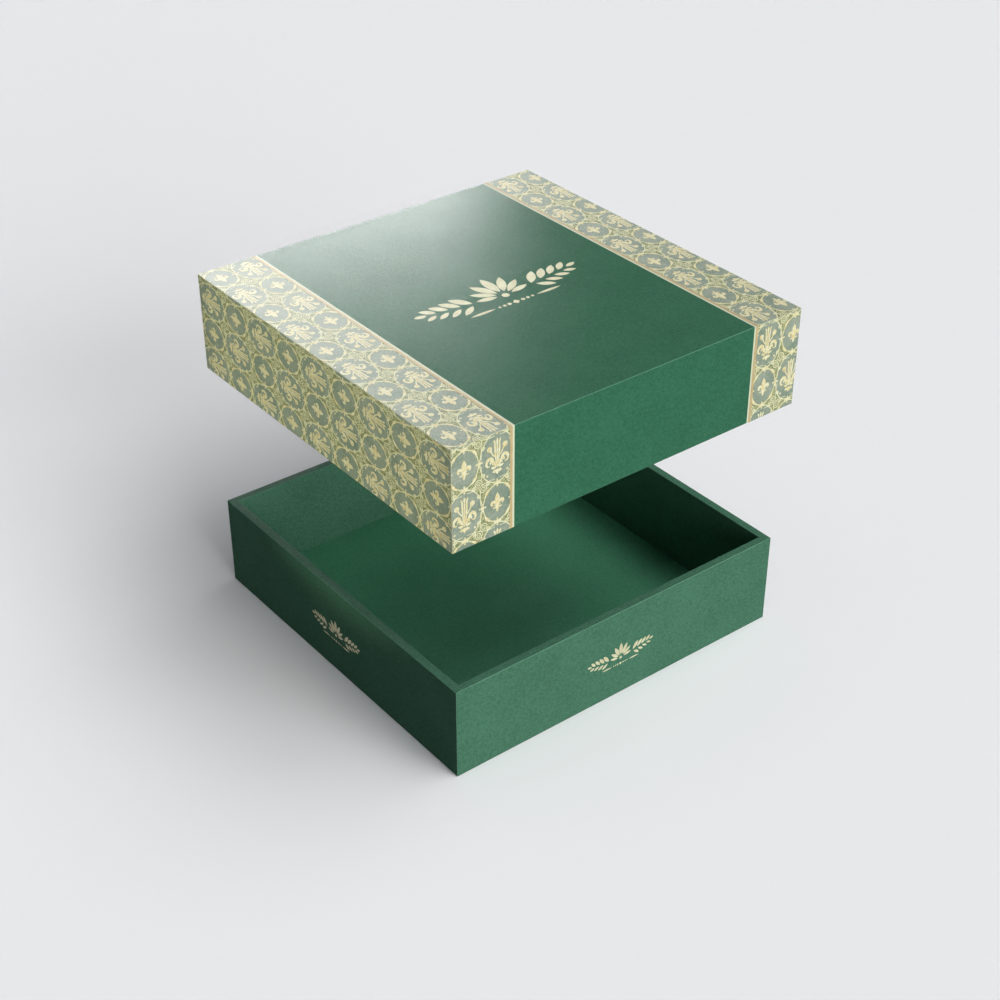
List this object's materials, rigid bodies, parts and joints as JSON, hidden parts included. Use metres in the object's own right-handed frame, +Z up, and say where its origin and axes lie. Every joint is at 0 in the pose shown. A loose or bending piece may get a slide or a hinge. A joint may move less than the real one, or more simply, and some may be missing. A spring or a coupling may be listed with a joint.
{
  "type": "sweet box",
  "caption": "Square paper-covered box for sweets: a shallow double-walled tray and a lift-off lid with patterned end bands, shown with the lid raised.",
  "frame": {"origin": "middle of the tray's underside, on the table", "axes": "+Z up, -Y the tray's front with an ornament, -X the left side with the other side ornament; the lid's patterned bands are at its left and right ends"},
  "size_m": [0.2082, 0.2082, 0.1846],
  "materials": {
    "greyboard": "plain grey board",
    "corner_tape": "gummed kraft tape",
    "cover_paper": "deep green paper, finely embossed, satin",
    "lining_paper": "deep green paper, finely embossed, satin",
    "band_paper": "printed paper with a gold trellis of medallions on grey-green",
    "gold_line": "pale gold foil",
    "gold_foil": "pale gold foil, satin"
  },
  "bodies": {
    "base": {"base_floor_board": "greyboard", "base_front_wall_board": "greyboard", "base_back_wall_board": "greyboard", "base_left_wall_board": "greyboard", "base_right_wall_board": "greyboard", "base_front_inner_board": "greyboard", "base_back_inner_board": "greyboard", "base_left_inner_board": "greyboard", "base_right_inner_board": "greyboard", "base_corner_tapes": "corner_tape", "base_wrap": "cover_paper", "base_bottom_sheet": "cover_paper", "base_floor_liner": "lining_paper", "base_front_foil": "gold_foil", "base_left_foil": "gold_foil"},
    "lid": {"lid_top_board": "greyboard", "lid_front_wall_board": "greyboard", "lid_back_wall_board": "greyboard", "lid_left_wall_board": "greyboard", "lid_right_wall_board": "greyboard", "lid_corner_tapes": "corner_tape", "lid_wrap": "cover_paper", "lid_wall_liner": "lining_paper", "lid_top_liner": "lining_paper", "lid_left_band": "band_paper", "lid_right_band": "band_paper", "lid_left_band_edging": "gold_line", "lid_right_band_edging": "gold_line", "lid_foil_ornament": "gold_foil"}
  },
  "joints": [
    {"name": "lid_lift", "type": "slide", "parent": "base", "child": "lid", "axis": [0, 0, 1], "range_m": [-0.1312, 0.04]}
  ]
}
